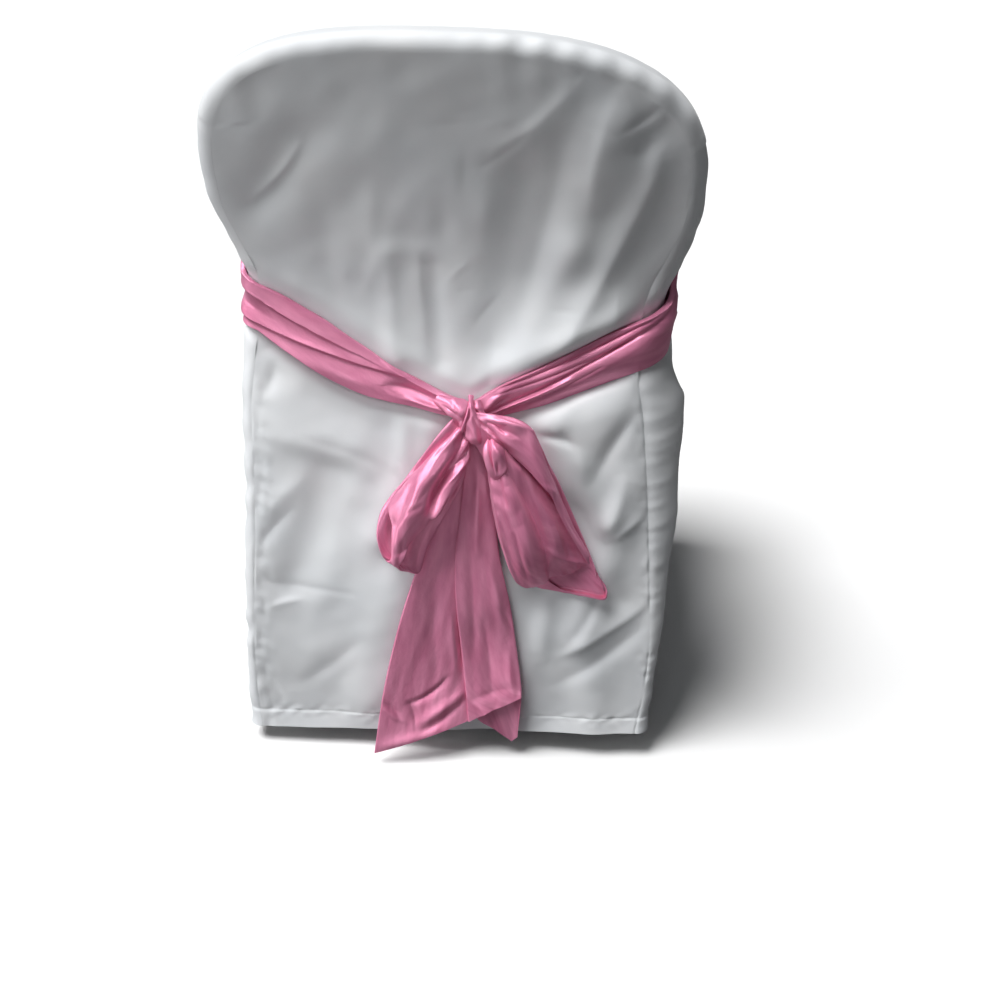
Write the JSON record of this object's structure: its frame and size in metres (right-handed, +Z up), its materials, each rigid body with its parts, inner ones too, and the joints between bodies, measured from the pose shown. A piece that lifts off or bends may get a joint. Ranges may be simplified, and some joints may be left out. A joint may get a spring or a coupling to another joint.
{
  "type": "chair cover with sash",
  "caption": "Fitted cloth cover for a folding chair, hollow and reaching down to just above the floor, with a satin sash round its waist tied in a bow behind.",
  "frame": {"origin": "underside of the cover's top, halfway through its depth, where the chair's top rail holds it up", "axes": "+X to the right of someone who faces the outside back with the bow, -Y from the outside back towards them, +Z up"},
  "size_m": [0.4749, 0.4992, 0.7633],
  "materials": {
    "cover_cloth": "white polyester with a faint sheen",
    "sash_satin": "pink satin, glossy along its folds"
  },
  "bodies": {
    "root": {"back_panel": "cover_cloth", "front_panel": "cover_cloth", "side_panel_left": "cover_cloth", "side_panel_right": "cover_cloth", "sash": "sash_satin"}
  },
  "joints": []
}
